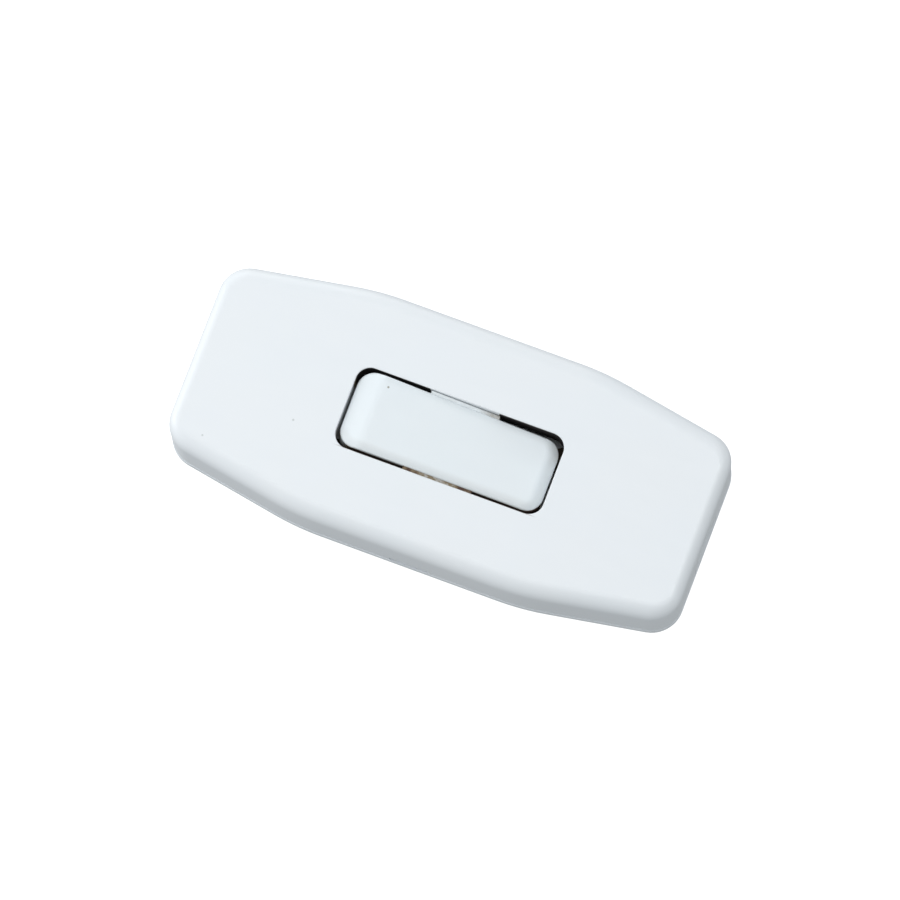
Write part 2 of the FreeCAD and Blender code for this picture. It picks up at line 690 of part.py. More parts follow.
def make_plunger_spring(pole, sign):
    """Model the coil spring between the rocker's roof and the plunger's collar, its wire in six flats."""
    coil = "(dim.plunger_bore_radius - dim.spring_side_gap - dim.spring_wire / 2)"
    low = f"({GUIDE_TOP} + dim.spring_end_gap + dim.spring_wire / 2)"
    rise = f"({SPRING_TOP} - dim.spring_wire / 2 - {low})"
    helix = doc.addObject("Part::Helix", f"spring_path_{pole}")
    helix.setExpression("Radius", coil)
    helix.setExpression("Height", rise)
    helix.setExpression("Pitch", f"{rise} / dim.spring_turns")
    wire = doc.addObject("Part::RegularPolygon", f"spring_wire_{pole}")
    wire.Polygon = 6
    wire.setExpression("Circumradius", "dim.spring_wire / 2")
    wire.Placement = FreeCAD.Placement(Vector(), Rotation(Vector(1, 0, 0), 90))
    wire.setExpression("Placement.Base.x", coil)
    doc.recompute()
    coil_sweep = doc.addObject("Part::Sweep", f"spring_coil_{pole}")
    coil_sweep.Sections = [wire]
    coil_sweep.Spine = (helix, ["Edge1"])
    coil_sweep.Solid = True
    coil_sweep.Frenet = True
    doc.recompute()
    spring = doc.addObject("Part::Compound", f"plunger_spring_{pole}")
    spring.Links = [coil_sweep]
    lift = f"({low})"
    return place(spring, f"{lift} * sin(dim.rocker_tilt * 1 deg)", f"{sign} * dim.pole_spacing / 2",
                 f"dim.pivot_height + {lift} * cos(dim.rocker_tilt * 1 deg)", turn="dim.rocker_tilt")


def make_contact_arm(pole, sign):
    """Model a see-saw arm: two wings in a shallow V, a bent-down tail and lugs at the pivot."""
    half = "(dim.arm_thickness / 2)"
    rest = "tan(dim.arm_throw * 1 deg)"
    rise_cos = "cos(dim.arm_throw * 2 deg)"
    rise_sin = "sin(dim.arm_throw * 2 deg)"
    tip_x = f"dim.arm_reach * {rise_cos}"
    tip_z = f"dim.arm_reach * {rise_sin}"
    tail = f"({STRIP_TOP} + dim.contact_air - dim.arm_axis_height)"
    outline = [
        ("-dim.arm_reach", tail),
        ("dim.arm_thickness - dim.arm_reach", tail),
        ("dim.arm_thickness - dim.arm_reach", f"-{half}"),
        (f"{half} * {rest}", f"-{half}"),
        (f"{tip_x} + {half} * {rise_sin}", f"{tip_z} - {half} * {rise_cos}"),
        (f"{tip_x} - {half} * {rise_sin}", f"{tip_z} + {half} * {rise_cos}"),
        (f"-{half} * {rest}", half),
        ("-dim.arm_reach", half),
    ]
    body = new_body(f"contact_arm_{pole}")
    pad(body, polygon(body, f"arm_side_{pole}", outline, role="XZ_Plane"), "dim.arm_width", both_ways=True)
    lugs = circles(body, f"arm_lugs_{pole}", [("0", "0")], "dim.lug_radius", role="XZ_Plane")
    pad(body, lugs, "dim.arm_width + 2 * dim.ear_wall + 4 * dim.ear_clearance", both_ways=True)
    return place(body, y=f"{sign} * dim.pole_spacing / 2", z="dim.arm_axis_height")


def make_button(name, height, way):
    """Model a contact button: a disc with a bevelled rim, facing up for a way of 1 and down for -1."""
    half = [
        ("0", "0"),
        ("dim.contact_radius", "0"),
        ("dim.contact_radius", f"{way} * ({height} - dim.contact_bevel)"),
        ("dim.contact_radius - dim.contact_bevel", f"{way} * ({height})"),
        ("0", f"{way} * ({height})"),
    ]
    body = new_body(name)
    revolve(body, polygon(body, f"{name}_half", half, role="XZ_Plane"))
    return body


def make_moving_contact(pole, sign):
    """Set a button under the arm's lifted wing."""
    half = "(dim.arm_thickness / 2)"
    rise_cos = "cos(dim.arm_throw * 2 deg)"
    rise_sin = "sin(dim.arm_throw * 2 deg)"
    button = make_button(f"moving_contact_{pole}", "dim.contact_height", -1)
    return place(button, f"dim.contact_place * {rise_cos} + {half} * {rise_sin}",
                 f"{sign} * dim.pole_spacing / 2",
                 f"dim.arm_axis_height + dim.contact_place * {rise_sin} - {half} * {rise_cos}",
                 turn="-2 * dim.arm_throw")


def make_fixed_contact(pole, sign):
    """Set a button on the fixed terminal, just short of the closed moving contact."""
    height = f"{CLOSED_CONTACT} - dim.contact_air - {STRIP_TOP}"
    button = make_button(f"fixed_contact_{pole}", height, 1)
    return place(button, "dim.contact_place", f"{sign} * dim.pole_spacing / 2", STRIP_TOP)


def make_terminal(name, sign, way, start):
    """Model a terminal's strip and pillar: way is the end it points to, start its inner end's x."""
    body = new_body(name)
    near = "dim.strip_width / 2"
    knee = f"{way} * dim.strip_knee"
    foot = f"{way} * dim.pillar_start"
    toe = f"{way} * (dim.pillar_start + dim.pillar_length)"
    inner = f"{sign} * (dim.pillar_offset - dim.pole_spacing / 2 - dim.pillar_width / 2)"
    outer = f"{sign} * (dim.pillar_offset - dim.pole_spacing / 2 + dim.pillar_width / 2)"
    plan = [
        (start, f"-{sign} * {near}"),
        (knee, f"-{sign} * {near}"),
        (foot, inner),
        (toe, inner),
        (toe, outer),
        (foot, outer),
        (knee, f"{sign} * {near}"),
        (start, f"{sign} * {near}"),
    ]
    pad(body, polygon(body, f"{name}_strip", plan, lift="dim.floor"), "dim.strip_thickness")
    pillar = rectangle(body, f"{name}_pillar", (foot, inner), (toe, outer), lift=STRIP_TOP)
    pad(body, pillar, "dim.pillar_height")
    middle = f"{sign} * (dim.pillar_offset - dim.pole_spacing / 2)"
    wire_face = toe if way > 0 else foot
    wire_hole = circles(body, f"{name}_wire_hole", [(middle, f"{STRIP_TOP} + dim.wire_hole_height")],
                        "dim.wire_hole_radius", role="YZ_Plane", lift=wire_face)
    pocket(body, wire_hole, "dim.pillar_length")
    spot = (f"{way} * (dim.pillar_start + dim.pillar_length / 2)", middle)
    screw_hole = circles(body, f"{name}_screw_hole", [spot], "dim.screw_hole_radius", lift=PILLAR_TOP)
    pocket(body, screw_hole, "dim.pillar_height - dim.wire_hole_height")
    return body


def make_fixed_terminal(pole, sign):
    """Model the terminal under the arm's contact end."""
    body = make_terminal(f"fixed_terminal_{pole}", sign, 1, "dim.fixed_strip_start")
    return place(body, y=f"{sign} * dim.pole_spacing / 2")


def make_cradle_terminal(pole, sign):
    """Model the terminal whose two notched ears carry the arm's lugs."""
    name = f"cradle_terminal_{pole}"
    body = make_terminal(name, sign, -1, "dim.ear_length / 2")
    inside = "(dim.arm_width / 2 + dim.ear_clearance)"
    outside = f"({inside} + dim.ear_wall)"
    half = "dim.ear_length / 2"
    web = rectangle(body, f"{name}_web", (f"-{half}", f"-{outside}"), (half, outside), lift="dim.floor")
    pad(body, web, "dim.strip_thickness")
    for edge, low, high in (("low", f"-{outside}", f"-{inside}"), ("high", inside, outside)):
        ear = rectangle(body, f"{name}_ear_{edge}", (f"-{half}", low), (half, high), lift="dim.floor")
        pad(body, ear, "dim.arm_axis_height + dim.ear_rise - dim.floor")
    seat = "(dim.lug_radius + dim.lug_clearance)"
    across = f"2 * {outside}"
    pocket(body, circles(body, f"{name}_seat", [("0", "dim.arm_axis_height")], seat, role="XZ_Plane"),
           across, both_ways=True)
    slot = rectangle(body, f"{name}_slot", (f"-{seat}", "dim.arm_axis_height"),
                     (seat, "dim.arm_axis_height + dim.ear_rise"), role="XZ_Plane")
    pocket(body, slot, across, both_ways=True)
    return place(body, y=f"{sign} * dim.pole_spacing / 2")


def make_screw(name, radius, length, x, y, z):
    """Model a slotted cheese-head screw whose head sits at height z."""
    half = [
        ("0", "dim.screw_head_height"),
        ("dim.screw_head_radius - dim.metal_edge", "dim.screw_head_height"),
        ("dim.screw_head_radius", "dim.screw_head_height - dim.metal_edge"),
        ("dim.screw_head_radius", "0"),
        (radius, "0"),
        (radius, f"dim.screw_point - ({length})"),
        (f"{radius} - dim.screw_point", f"-({length})"),
        ("0", f"-({length})"),
    ]
    body = new_body(name)
    revolve(body, polygon(body, f"{name}_half", half, role="XZ_Plane"))
    slot = rectangle(body, f"{name}_slot", ("-dim.screw_head_radius", "-dim.screw_slot_width / 2"),
                     ("dim.screw_head_radius", "dim.screw_slot_width / 2"), lift="dim.screw_head_height")
    pocket(body, slot, "dim.screw_slot_depth")
    return place(body, x, y, z)


def grouped(name, pieces):
    """Put like fasteners into one node as separate solids."""
    group = doc.addObject("Part::Compound", name)
    group.Links = pieces
    doc.recompute()
    return group


def make_terminal_screws():
    """Set a backed-off wire screw in each terminal's pillar."""
    reach = "dim.pillar_height - dim.wire_hole_height - dim.wire_hole_radius - dim.screw_tip_gap"
    screws = []
    for end, way in ENDS:
        for pole, sign in POLES:
            screws.append(make_screw(f"terminal_screw_{end}_{pole}", SCREW_RADIUS,
                                     f"{reach} + dim.screw_backed_off",
                                     f"{way} * (dim.pillar_start + dim.pillar_length / 2)",
                                     f"{sign} * dim.pillar_offset",
                                     f"{PILLAR_TOP} + dim.screw_backed_off"))
    return grouped("terminal_screws", screws)


def make_clamp_screws():
    """Set a screw through each foot of the two cord clamps."""
    screws = []
    for end, way in ENDS:
        for pole, sign in POLES:
            screws.append(make_screw(f"clamp_screw_{end}_{pole}", CLAMP_SCREW_RADIUS,
                                     "dim.clamp_screw_length",
                                     f"{way} * {CLAMP_PLACE}", f"{sign} * dim.clamp_screw_spacing / 2",
                                     f"{CLAMP_SEAT} + dim.clamp_foot"))
    return grouped("clamp_screws", screws)


def make_cord_clamp(end, sign):
    """Model a cord clamp: a bar with two screw feet and an arch over the cord."""
    name = f"cord_clamp_{end}"
    reach = "(dim.clamp_screw_spacing / 2 + dim.boss_radius)"
    spring_line = "(dim.clamp_groove_radius + dim.clamp_arch)"
    shoulder = f"({spring_line} - dim.clamp_arch)"
    foot_top = f"({CLAMP_SEAT} + dim.clamp_foot)"
    arch_top = "(dim.cord_axis_height + dim.clamp_groove_radius + dim.clamp_arch)"
    front = [
        (f"-{reach}", CLAMP_SEAT),
        (reach, CLAMP_SEAT),
        (reach, foot_top),
        (spring_line, foot_top),
        (shoulder, arch_top),
        (f"-{shoulder}", arch_top),
        (f"-{spring_line}", foot_top),
        (f"-{reach}", foot_top),
    ]
    body = new_body(name)
    pad(body, polygon(body, f"{name}_front", front, role="YZ_Plane"), "dim.clamp_width", both_ways=True)
    round_edges(body, f"{name}_corners", "dim.mould_edge", upright)
    groove = circles(body, f"{name}_groove", [("0", "dim.cord_axis_height")], "dim.clamp_groove_radius",
                     role="YZ_Plane")
    pocket(body, groove, "dim.clamp_width", both_ways=True)
    spots = [("0", f"{way} * dim.clamp_screw_spacing / 2") for _, way in POLES]
    holes = circles(body, f"{name}_holes", spots, "dim.clamp_hole_radius", lift=foot_top)
    pocket(body, holes, "dim.clamp_foot")
    return place(body, f"{sign} * {CLAMP_PLACE}")


def make_pieces():
    """Model every piece of the switch."""
    pieces = [make_base_shell(), make_top_cover(), make_rocker()]
    for pole, sign in POLES:
        for make in (make_plunger, make_plunger_spring, make_contact_arm, make_moving_contact,
                     make_cradle_terminal, make_fixed_terminal, make_fixed_contact):
            pieces.append(make(pole, sign))
    for end, sign in ENDS:
        pieces.append(make_cord_clamp(end, sign))
    return pieces + [make_terminal_screws(), make_clamp_screws()]


def main():
    """Build every piece, test it and write it to its file."""
    pieces = make_pieces()
    failed = [obj.Name for obj in doc.Objects if {"Invalid", "Error"} & set(obj.State)]
    if failed:
        raise RuntimeError(f"features failed: {failed}")
    os.makedirs("parts", exist_ok=True)
    for piece in pieces:
        if piece.Shape.isNull() or not piece.Shape.isValid():
            raise RuntimeError(f"{piece.Label} has no sound shape")
        piece.Shape.exportStep(f"parts/{piece.Label}.step")
        print(piece.Label, len(piece.Shape.Solids), round(piece.Shape.Volume, 2))


if __name__ == "__main__":
    main()
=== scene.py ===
"""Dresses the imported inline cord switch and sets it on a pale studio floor.

Lengths are metres in the part's own frame unless a docstring says millimetres: +X runs along the switch to
the end whose rocker side is pressed, +Z is up, and the origin is at the middle of the underside.
"""
from __future__ import annotations

import json
import logging
import math
from collections.abc import Callable, Mapping, Sequence
from dataclasses import dataclass
from enum import Enum
from typing import Union

import bpy
import numpy as np
from mathutils import Matrix, Vector


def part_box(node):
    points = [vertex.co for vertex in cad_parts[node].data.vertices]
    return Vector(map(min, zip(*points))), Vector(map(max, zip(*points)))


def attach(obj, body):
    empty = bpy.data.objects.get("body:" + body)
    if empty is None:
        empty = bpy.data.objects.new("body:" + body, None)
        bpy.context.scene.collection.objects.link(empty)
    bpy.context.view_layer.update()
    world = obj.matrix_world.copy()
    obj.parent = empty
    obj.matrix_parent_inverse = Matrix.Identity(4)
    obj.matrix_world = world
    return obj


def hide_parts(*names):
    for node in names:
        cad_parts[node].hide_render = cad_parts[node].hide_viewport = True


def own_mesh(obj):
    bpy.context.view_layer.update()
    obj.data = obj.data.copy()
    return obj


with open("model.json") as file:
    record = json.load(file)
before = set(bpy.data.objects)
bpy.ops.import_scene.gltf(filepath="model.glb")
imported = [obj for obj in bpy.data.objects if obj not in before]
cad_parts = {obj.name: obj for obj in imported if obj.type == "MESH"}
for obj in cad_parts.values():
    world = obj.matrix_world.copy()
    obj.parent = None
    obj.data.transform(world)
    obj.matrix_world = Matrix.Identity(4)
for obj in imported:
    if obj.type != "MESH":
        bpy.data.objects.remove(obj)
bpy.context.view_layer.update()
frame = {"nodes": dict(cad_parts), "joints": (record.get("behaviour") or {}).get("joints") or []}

LOG = logging.getLogger("inline_cord_switch")
MM = 0.001
POLES = ("front", "rear")
ENDS = ("left", "right")

# The rocker window and the rocker's side pads in millimetres, which place the painted shade and grime.
WINDOW_LENGTH = 33.3
WINDOW_WIDTH = 13.0
PAD_HALF = 5.5
PAD_FADE = 0.1

# The value that every noise swings about.
NOISE_MEAN = 0.5

Colour = tuple[float, float, float]
Place = tuple[float, float, float]
Span = tuple[float, float]
Number = Union["Field", float]


class Axis(Enum):
    """The direction that a metal's drawing lines run in, as the pattern's scale along X, Y and Z."""

    X = (0.06, 1.0, 1.0)
    NONE = (1.0, 1.0, 1.0)


class Detail(Enum):
    """How finely a noise breaks up, as the noise node counts it."""

    SMOOTH = 1.0
    SOFT = 2.0
    ROUGH = 3.0
    RAGGED = 4.0


class Field:
    """A shader socket that takes part in Python expressions, one Math node for each operator."""

    def __init__(self, graph: Graph, socket: bpy.types.NodeSocket) -> None:
        """Wrap an output socket of a graph's node."""
        self.graph = graph
        self.socket = socket

    def _math(self, operation: str, *values: Number) -> Field:
        """Add a Math node to the graph.

        Args:
            operation: The Math node's operation.
            values: Its inputs in order, each a field or a number.

        Returns:
            The node's result.
        """
        return self.graph.add("ShaderNodeMath", {"operation": operation}, dict(enumerate(values)))

    def __add__(self, other: Number) -> Field:
        """Add a field or number."""
        return self._math("ADD", self, other)

    def __radd__(self, other: float) -> Field:
        """Add this field to a number."""
        return self._math("ADD", other, self)

    def __sub__(self, other: Number) -> Field:
        """Take a field or number away."""
        return self._math("SUBTRACT", self, other)

    def __rsub__(self, other: float) -> Field:
        """Take this field from a number."""
        return self._math("SUBTRACT", other, self)

    def __mul__(self, other: Number) -> Field:
        """Multiply by a field or number."""
        return self._math("MULTIPLY", self, other)

    def __rmul__(self, other: float) -> Field:
        """Multiply a number by this field."""
        return self._math("MULTIPLY", other, self)

    def __pow__(self, power: float) -> Field:
        """Raise to a power."""
        return self._math("POWER", self, power)

    def __abs__(self) -> Field:
        """Drop the sign."""
        return self._math("ABSOLUTE", self)

    def greatest(self, other: Number) -> Field:
        """Return the larger of two values at each point."""
        return self._math("MAXIMUM", self, other)

    def step(self, low: float, high: float) -> Field:
        """Return 0 at low, 1 at high and a smooth rise between them; low may be the larger.

        Args:
            low: The value where the rise starts.
            high: The value where the rise ends.

        Returns:
            A field from 0 to 1.
        """
        ends = (0.0, 1.0) if low < high else (1.0, 0.0)
        inputs = {0: self, 1: min(low, high), 2: max(low, high), 3: ends[0], 4: ends[1]}
        return self.graph.add("ShaderNodeMapRange", {"interpolation_type": "SMOOTHSTEP"}, inputs)


class Graph:
    """The node tree of one material."""

    def __init__(self, name: str) -> None:
        """Start an empty material.

        Args:
            name: The material's name.
        """
        self.material = bpy.data.materials.new(name)
        self.material.use_nodes = True
        self.tree = self.material.node_tree
        self.tree.nodes.clear()

    def node(self, kind: str, settings: Mapping[str, object] | None = None,
             inputs: Mapping[str | int, object] | None = None) -> bpy.types.Node:
        """Add any node.

        Args:
            kind: The node's type.
            settings: Its properties, which are set first.
            inputs: Its sockets by name or place, each a field to link or a value to set.

        Returns:
            The node.
        """
        node = self.tree.nodes.new(kind)
        for name, value in (settings or {}).items():
            setattr(node, name, value)
        for key, value in (inputs or {}).items():
            if isinstance(value, Field):
                self.tree.links.new(value.socket, node.inputs[key])
            else:
                node.inputs[key].default_value = value
        return node

    def add(self, kind: str, settings: Mapping[str, object] | None = None,
            inputs: Mapping[str | int, object] | None = None, output: str | int = 0) -> Field:
        """Add any node and take one of its outputs.

        Args:
            kind: The node's type.
            settings: Its properties, which are set first.
            inputs: Its sockets by name or place, each a field to link or a value to set.
            output: The socket to return, by name or place.

        Returns:
            The chosen output.
        """
        return Field(self, self.node(kind, settings, inputs).outputs[output])

    def vector(self, operation: str, first: Field, second: Field | Place, output: str | int = 0) -> Field:
        """Add a Vector Math node on two vectors and take one of its outputs."""
        return self.add("ShaderNodeVectorMath", {"operation": operation}, {0: first, 1: second}, output)

    def point(self, stretch: Place = Axis.NONE.value) -> Field:
        """Return the place on the piece in millimetres.

        Args:
            stretch: The factors along X, Y and Z; one under 1 draws a pattern out along its axis.

        Returns:
            The place as a vector.
        """
        x, y, z = stretch
        place = self.add("ShaderNodeTexCoord", output="Object")
        return self.vector("MULTIPLY", place, (x / MM, y / MM, z / MM))

    def parts(self, vector: Field) -> tuple[Field, Field, Field]:
        """Split a vector into its three numbers."""
        x, y, z = self.node("ShaderNodeSeparateXYZ", None, {0: vector}).outputs
        return Field(self, x), Field(self, y), Field(self, z)

    def noise(self, point: Field, spacing: float, detail: Detail) -> Field:
        """Return smooth noise whose blotches are about a spacing wide, in millimetres."""
        inputs = {"Vector": point, "Scale": 1.0 / spacing, "Detail": detail.value}
        return self.add("ShaderNodeTexNoise", {"noise_dimensions": "3D"}, inputs)

    def mix(self, factor: Number, first: Field | Colour, second: Field | Colour) -> Field:
        """Blend two colours.

        Args:
            factor: The share of the second colour.
            first: The colour at 0.
            second: The colour at 1.

        Returns:
            The blended colour.
        """
        colours = [c if isinstance(c, Field) else (*c, 1.0) for c in (first, second)]
        inputs = {0: factor, 6: colours[0], 7: colours[1]}
        return self.add("ShaderNodeMix", {"data_type": "RGBA", "clamp_factor": True}, inputs, 2)

    def bump(self, height: Field, depth: float, below: Field | None = None) -> Field:
        """Bend the normal by a height field.

        Args:
            height: The height, from 0 to 1.
            depth: What a height of 1 is worth in millimetres.
            below: The normal to start from, if it isn't the surface's own.

        Returns:
            The bent normal.
        """
        inputs: dict[str | int, object] = {"Strength": 1.0, "Distance": depth * MM, "Height": height}
        if below is not None:
            inputs["Normal"] = below
        return self.add("ShaderNodeBump", None, inputs)

    def surface(self, inputs: Mapping[str | int, object]) -> bpy.types.Material:
        """Close the material with one Principled shader.

        Args:
            inputs: The shader's sockets, each a field to link or a value to set.

        Returns:
            The finished material.
        """
        shader = self.add("ShaderNodeBsdfPrincipled", None, inputs)
        self.node("ShaderNodeOutputMaterial", None, {"Surface": shader})
        return self.material


ShadeAndDirt = Callable[[Graph, Field], Field]
Speck = tuple[float, float, float]


@dataclass(frozen=True)
class MouldedPlastic:
    """Moulded plastic with a fine eroded grain, a cloudy tint, wiped streaks, stray specks, and painted shade
    with grime.

    The sizes and depths of its patterns are millimetres, and each swing is what a pattern adds to the
    roughness.
    """

    colour: Colour
    cloud: Colour
    roughness: float
    cloud_size: float = 14.0
    cloud_edges: Span = (0.3, 0.7)
    cloud_swing: float = 0.06
    wipe_size: float = 1.7
    wipe_stretch: Place = (0.25, 1.0, 1.0)
    wipe_swing: float = 0.12
    wave_size: float = 9.0
    wave_depth: float = 0.02
    grain: float = 0.22
    grain_depth: float = 0.0016
    speck: Colour = (0.1, 0.1, 0.08)
    speck_core: float = 0.4
    # These two colours paint shade in the gaps, brown then near black; on the rocker's rear pad they are
    # grime.
    dust_and_shade: Colour = (0.2, 0.145, 0.075)
    shade_and_grime: Colour = (0.006, 0.003, 0.003)
    shade_and_grime_swing: float = 0.3
    refraction: float = 1.5
    scatter: float = 0.0
    scatter_depth: float = 0.6
    scatter_tint: Colour = (1.0, 0.95, 0.85)

    def make(self, name: str, shade_and_dirt: ShadeAndDirt | None = None, specks: Sequence[Speck] = ()) -> bpy.types.Material:
        """Make the material.

        Args:
            name: The material's name.
            shade_and_dirt: What gives the share of painted shade and grime at a point in millimetres, if the
                piece has
            any: brown up to a half, and blacker above it.
            specks: The dark specks seen from above, each its X, its Y and its radius in millimetres.

        Returns:
            The material.
        """
        graph = Graph(name)
        point = graph.point()
        clouds = graph.noise(point, self.cloud_size, Detail.ROUGH)
        colour = graph.mix(clouds.step(*self.cloud_edges), self.colour, self.cloud)
        flat = graph.vector("MULTIPLY", point, (1.0, 1.0, 0.0))
        for x, y, radius in specks:
            far = graph.vector("DISTANCE", flat, (x, y, 0.0), "Value")
            colour = graph.mix(far.step(radius, self.speck_core * radius), colour, self.speck)
        wiped = graph.noise(graph.point(self.wipe_stretch), self.wipe_size, Detail.RAGGED)
        streaks = (wiped - NOISE_MEAN) * self.wipe_swing
        rough = self.roughness + streaks + (clouds - NOISE_MEAN) * self.cloud_swing
        if shade_and_dirt is not None:
            # Painted shade in the gaps, with grime on the rocker's rear pad: brown up to a half, near black
            # above.
            shade_and_soil = shade_and_dirt(graph, point)
            colour = graph.mix(shade_and_soil * 2.0, colour, self.dust_and_shade)
            colour = graph.mix(shade_and_soil * 2.0 - 1.0, colour, self.shade_and_grime)
            rough = rough + shade_and_soil * self.shade_and_grime_swing
        waves = graph.bump(graph.noise(point, self.wave_size, Detail.SMOOTH), self.wave_depth)
        grain = graph.bump(graph.noise(point, self.grain, Detail.SOFT), self.grain_depth, waves)
        return graph.surface({
            "Base Color": colour, "Roughness": rough, "Normal": grain, "IOR": self.refraction,
            "Subsurface Weight": self.scatter, "Subsurface Radius": self.scatter_tint,
            "Subsurface Scale": self.scatter_depth * MM,
        })


@dataclass(frozen=True)
class DrawnMetal:
    """Rolled or drawn metal with lines along its run, cloudy tarnish, small pits and painted shade.

    The sizes and depths of its patterns are millimetres, and each swing is what a pattern adds to the
    roughness.
    """

    colour: Colour
    tarnish: Colour
    roughness: float
    lines: Axis = Axis.NONE
    line_spacing: float = 0.12
    line_depth: float = 0.002
    line_swing: float = 0.18
    tarnish_size: float = 2.6
    tarnish_edges: Span = (0.42, 0.72)
    tarnish_share: float = 0.5
    tarnish_swing: float = 0.16
    pit_size: float = 0.35
    pit_edges: Span = (0.68, 0.76)
    pit_share: float = 0.6
    pit_swing: float = 0.1
    # Dark colour for painted shade on the metal under the gap.
    dust_and_shade: Colour = (0.055, 0.043, 0.034)
    shade_swing: float = 0.5

    def make(self, name: str, shade_and_dirt: ShadeAndDirt | None = None) -> bpy.types.Material:
        """Make the material.

        Args:
            name: The material's name.
            shade_and_dirt: What gives the share of painted shade at a point in millimetres, if the piece has
                any.

        Returns:
            The material.
        """
        graph = Graph(name)
        point = graph.point()
        drawn = graph.noise(graph.point(self.lines.value), self.line_spacing, Detail.ROUGH)
        clouds = graph.noise(point, self.tarnish_size, Detail.RAGGED)
        pits = graph.noise(point, self.pit_size, Detail.SOFT).step(*self.pit_edges)
        tarnish_and_edge_shade = clouds.step(*self.tarnish_edges) * self.tarnish_share
        colour = graph.mix(tarnish_and_edge_shade.greatest(pits * self.pit_share), self.colour, self.tarnish)
        streaks = (drawn - NOISE_MEAN) * self.line_swing
        rough = self.roughness + streaks + tarnish_and_edge_shade * self.tarnish_swing + pits * self.pit_swing
        metallic: Number = 1.0
        if shade_and_dirt is not None:
            # Painted shade darkens and dulls the metal where it lies under the gap.
            shade_and_soil = shade_and_dirt(graph, point)
            colour = graph.mix(shade_and_soil, colour, self.dust_and_shade)
            rough = rough + shade_and_soil * self.shade_swing
            metallic = 1.0 - shade_and_soil
        normal = graph.bump(drawn - pits * self.pit_share, self.line_depth)
        return graph.surface({
            "Base Color": colour, "Roughness": rough, "Metallic": metallic, "Normal": normal,
        })


@dataclass(frozen=True)
class UnderGapShade:
    """Dark dust that fell through the gap round the rocker and lies on the pieces below it.

    Attributes:
        reach: Half the width of the band of painted shade in millimetres.
        dense_reach: The part of that reach where the painted shade is dense.
        patch_size: The size of the ragged patches at its edge in millimetres.
        level: The height in millimetres above which no painted shade lies.
        dense_level: The part of that height up to which the painted shade is dense.
        share: The share of painted shade where it is dense.
    """

    reach: float = 2.6
    dense_reach: float = 0.6
    patch_size: float = 1.2
    level: float = 3.4
    dense_level: float = 0.9
    share: float = 0.95

    def cover(self, graph: Graph, point: Field) -> Field:
        """Return the share of painted shade, which is a ragged band under the window's edge.

        Args:
            graph: The material's graph.
            point: The place in millimetres.

        Returns:
            The share of dust.
        """
        x, y, z = graph.parts(point)
        beyond = (abs(x) - WINDOW_LENGTH / 2).greatest(abs(y) - WINDOW_WIDTH / 2)
        ragged = beyond + graph.noise(point, self.patch_size, Detail.ROUGH) - NOISE_MEAN
        band = abs(ragged).step(self.reach, self.dense_reach * self.reach)
        return band * z.step(self.level, self.dense_level * self.level) * self.share


# Its default near-black and brown colours paint shade in the window's gaps.
CASING_WHITE = MouldedPlastic(colour=(0.742, 0.777, 0.808), cloud=(0.752, 0.782, 0.808), roughness=0.45,
                              speck=(0.55, 0.58, 0.59))
# Its dark red-brown colour paints shade on the rocker's walls and front pad.
ROCKER_WHITE = MouldedPlastic(colour=(0.722, 0.775, 0.807), cloud=(0.732, 0.78, 0.807), roughness=0.42,
                              grain_depth=0.001, speck=(0.3, 0.3, 0.26), shade_and_grime=(0.06, 0.022, 0.016))
CLAMP_GREY = MouldedPlastic(colour=(0.6, 0.61, 0.6), cloud=(0.56, 0.58, 0.58), roughness=0.52,
                            grain_depth=0.003)
NATURAL_NYLON = MouldedPlastic(colour=(0.72, 0.67, 0.54), cloud=(0.76, 0.71, 0.58), roughness=0.38,
                               grain_depth=0.0008, scatter=0.35)
STRIP_BRASS = DrawnMetal(colour=(0.72, 0.5, 0.2), tarnish=(0.4, 0.24, 0.09), roughness=0.3, lines=Axis.X)
CONTACT_SILVER = DrawnMetal(colour=(0.83, 0.81, 0.77), tarnish=(0.45, 0.42, 0.38), roughness=0.24,
                            tarnish_share=0.35)
SPRING_STEEL = DrawnMetal(colour=(0.5, 0.5, 0.51), tarnish=(0.26, 0.25, 0.25), roughness=0.28)
ZINC_PLATE = DrawnMetal(colour=(0.62, 0.64, 0.67), tarnish=(0.46, 0.45, 0.4), roughness=0.32,
                        line_depth=0.0012)
UNDER_GAP_SHADE = UnderGapShade()


def dress(node: str, material: bpy.types.Material) -> None:
    """Give a CAD node's every material slot one material.

    Args:
        node: The node's name.
        material: The material.
    """
    slots = frame["nodes"][node].data.materials
    for index in range(len(slots)):
        slots[index] = material
    LOG.info("dressed %s with %s", node, material.name)


def joint(name: str) -> Mapping[str, object]:
    """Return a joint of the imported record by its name."""
    return next(entry for entry in frame["joints"] if entry["name"] == name)


def tube_mesh(name: str, rings: np.ndarray) -> bpy.types.Mesh:
    """Skin a row of closed rings and shut both ends with fans about the end rings' centres.

    Args:
        name: The mesh's name.
        rings: Points of shape (rings, points round each, 3), in order along the tube and counter-clockwise
            seen from its far end.

    Returns:
        The closed mesh.
    """
    count, around, _ = rings.shape
    index = np.arange(count * around).reshape(count, around)
    ahead = np.roll(index, -1, axis=1)
    quads = np.stack([index[:-1], ahead[:-1], ahead[1:], index[1:]], axis=-1).reshape(-1, 4)
    start = np.full(around, count * around)
    stop = start + 1
    fans = np.concatenate([
        np.stack([start, ahead[0], index[0]], axis=-1),
        np.stack([stop, index[-1], ahead[-1]], axis=-1),
    ])
    centres = np.stack([rings[0].mean(axis=0), rings[-1].mean(axis=0)])
    points = np.concatenate([rings.reshape(-1, 3), centres])
    mesh = bpy.data.meshes.new(name)
    mesh.from_pydata(points, [], quads.tolist() + fans.tolist())
    return mesh


